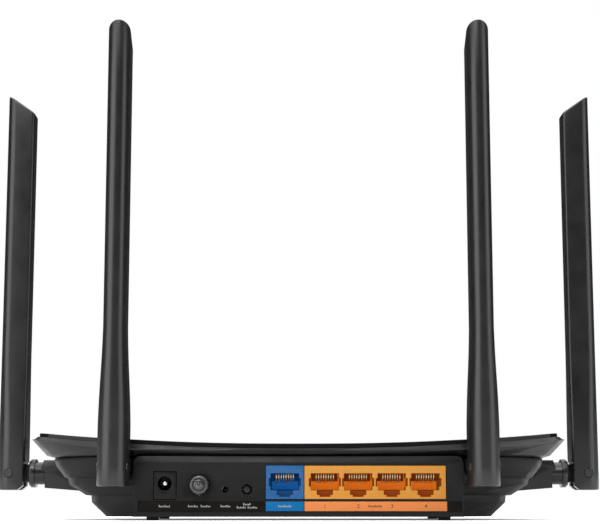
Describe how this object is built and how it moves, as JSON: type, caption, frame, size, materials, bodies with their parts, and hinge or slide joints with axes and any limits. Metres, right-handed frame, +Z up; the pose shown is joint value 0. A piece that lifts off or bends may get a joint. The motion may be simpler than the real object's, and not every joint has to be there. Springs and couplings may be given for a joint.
{
  "type": "wireless router",
  "caption": "Desktop wireless router: low winged case with network sockets, buttons and folding swivel antennas at the rear and sides.",
  "frame": {"origin": "on the table, under the middle of the whole object with its antennas upright", "axes": "+X to the right when looking at the sockets, +Y from the sockets towards the lights at the front, +Z up"},
  "size_m": [0.2924, 0.1584, 0.212],
  "materials": {
    "case_plastic": "fine moulded grain, satin black",
    "cover_gloss": "polished black",
    "antenna_plastic": "satin black",
    "pin_black": "black-oxide steel pin",
    "radiator_brass": "tinned brass strip",
    "lead_black": "thin coaxial lead",
    "foot_rubber": "matte rubber",
    "screw_steel": "zinc-plated",
    "board_green": "green solder mask",
    "can_steel": "tinned steel",
    "heat_sink_aluminium": "anodised",
    "chip_black": "moulded black",
    "contact_gold": "gold flash",
    "jack_blue": "blue moulding",
    "jack_yellow": "amber moulding",
    "button_plastic": "dark grey moulding",
    "label_black": "printed black label",
    "label_blue": "printed blue label",
    "label_orange": "printed orange label",
    "light_clear": "clear light guide"
  },
  "bodies": {
    "router_body": {"bottom_case": "case_plastic", "upper_case": "case_plastic", "top_cover": "cover_gloss", "swivel_socket_rear_left": "antenna_plastic", "swivel_socket_rear_right": "antenna_plastic", "swivel_socket_side_left": "antenna_plastic", "swivel_socket_side_right": "antenna_plastic", "antenna_lead_rear_left": "lead_black", "antenna_lead_rear_right": "lead_black", "antenna_lead_side_left": "lead_black", "antenna_lead_side_right": "lead_black", "foot_rear_left": "foot_rubber", "foot_rear_right": "foot_rubber", "foot_front_left": "foot_rubber", "foot_front_right": "foot_rubber", "case_screw_rear_left": "screw_steel", "case_screw_rear_right": "screw_steel", "case_screw_front_left": "screw_steel", "case_screw_front_right": "screw_steel", "board_screw_left": "screw_steel", "board_screw_right": "screw_steel", "main_board": "board_green", "shield_can_left": "can_steel", "shield_can_right": "can_steel", "power_switch": "can_steel", "pairing_switch": "can_steel", "reset_switch": "can_steel", "dc_jack_pin": "can_steel", "heat_sink": "heat_sink_aluminium", "processor": "chip_black", "network_transformer": "chip_black", "dc_jack": "chip_black", "internet_jack_contacts": "contact_gold", "lan_jack_contacts": "contact_gold", "internet_jack": "jack_blue", "lan_jack_block": "jack_yellow", "label_controls": "label_black", "label_end": "label_black", "label_internet": "label_blue", "label_lan": "label_orange", "light_guide": "light_clear"},
    "swivel_rear_left": {"swivel_knuckle_rear_left": "antenna_plastic"},
    "antenna_rear_left": {"antenna_sleeve_rear_left": "antenna_plastic", "antenna_radiator_rear_left": "radiator_brass", "hinge_pin_rear_left": "pin_black"},
    "swivel_rear_right": {"swivel_knuckle_rear_right": "antenna_plastic"},
    "antenna_rear_right": {"antenna_sleeve_rear_right": "antenna_plastic", "antenna_radiator_rear_right": "radiator_brass", "hinge_pin_rear_right": "pin_black"},
    "swivel_side_left": {"swivel_knuckle_side_left": "antenna_plastic"},
    "antenna_side_left": {"antenna_sleeve_side_left": "antenna_plastic", "antenna_radiator_side_left": "radiator_brass", "hinge_pin_side_left": "pin_black"},
    "swivel_side_right": {"swivel_knuckle_side_right": "antenna_plastic"},
    "antenna_side_right": {"antenna_sleeve_side_right": "antenna_plastic", "antenna_radiator_side_right": "radiator_brass", "hinge_pin_side_right": "pin_black"},
    "power_button": {"power_button": "button_plastic"},
    "pairing_button": {"pairing_button": "button_plastic"},
    "reset_plunger": {"reset_plunger": "chip_black"}
  },
  "joints": [
    {"name": "swivel_rear_left_turn", "type": "hinge", "parent": "router_body", "child": "swivel_rear_left", "pos_m": [-0.0765, -0.0732, 0.022], "axis": [0, 1, 0], "range_deg": [-90, 45]},
    {"name": "antenna_rear_left_fold", "type": "hinge", "parent": "swivel_rear_left", "child": "antenna_rear_left", "pos_m": [-0.0765, -0.0732, 0.022], "axis": [1, 0, 0], "range_deg": [0, 90]},
    {"name": "swivel_rear_right_turn", "type": "hinge", "parent": "router_body", "child": "swivel_rear_right", "pos_m": [0.0765, -0.0732, 0.022], "axis": [0, 1, 0], "range_deg": [-45, 90]},
    {"name": "antenna_rear_right_fold", "type": "hinge", "parent": "swivel_rear_right", "child": "antenna_rear_right", "pos_m": [0.0765, -0.0732, 0.022], "axis": [1, 0, 0], "range_deg": [0, 90]},
    {"name": "swivel_side_left_turn", "type": "hinge", "parent": "router_body", "child": "swivel_side_left", "pos_m": [-0.1402, 0.026, 0.022], "axis": [1, 0, 0], "range_deg": [-90, 90]},
    {"name": "antenna_side_left_fold", "type": "hinge", "parent": "swivel_side_left", "child": "antenna_side_left", "pos_m": [-0.1402, 0.026, 0.022], "axis": [0, -1, 0], "range_deg": [0, 90]},
    {"name": "swivel_side_right_turn", "type": "hinge", "parent": "router_body", "child": "swivel_side_right", "pos_m": [0.1402, 0.026, 0.022], "axis": [1, 0, 0], "range_deg": [-90, 90]},
    {"name": "antenna_side_right_fold", "type": "hinge", "parent": "swivel_side_right", "child": "antenna_side_right", "pos_m": [0.1402, 0.026, 0.022], "axis": [0, 1, 0], "range_deg": [0, 90]},
    {"name": "power_button_press", "type": "slide", "parent": "router_body", "child": "power_button", "axis": [0, 1, 0], "range_m": [0, 0.0025], "stiffness_N_per_m": 600},
    {"name": "pairing_button_press", "type": "slide", "parent": "router_body", "child": "pairing_button", "axis": [0, 1, 0], "range_m": [0, 0.0005], "stiffness_N_per_m": 2500},
    {"name": "reset_plunger_press", "type": "slide", "parent": "router_body", "child": "reset_plunger", "axis": [0, 1, 0], "range_m": [0, 0.0004], "stiffness_N_per_m": 2500}
  ]
}
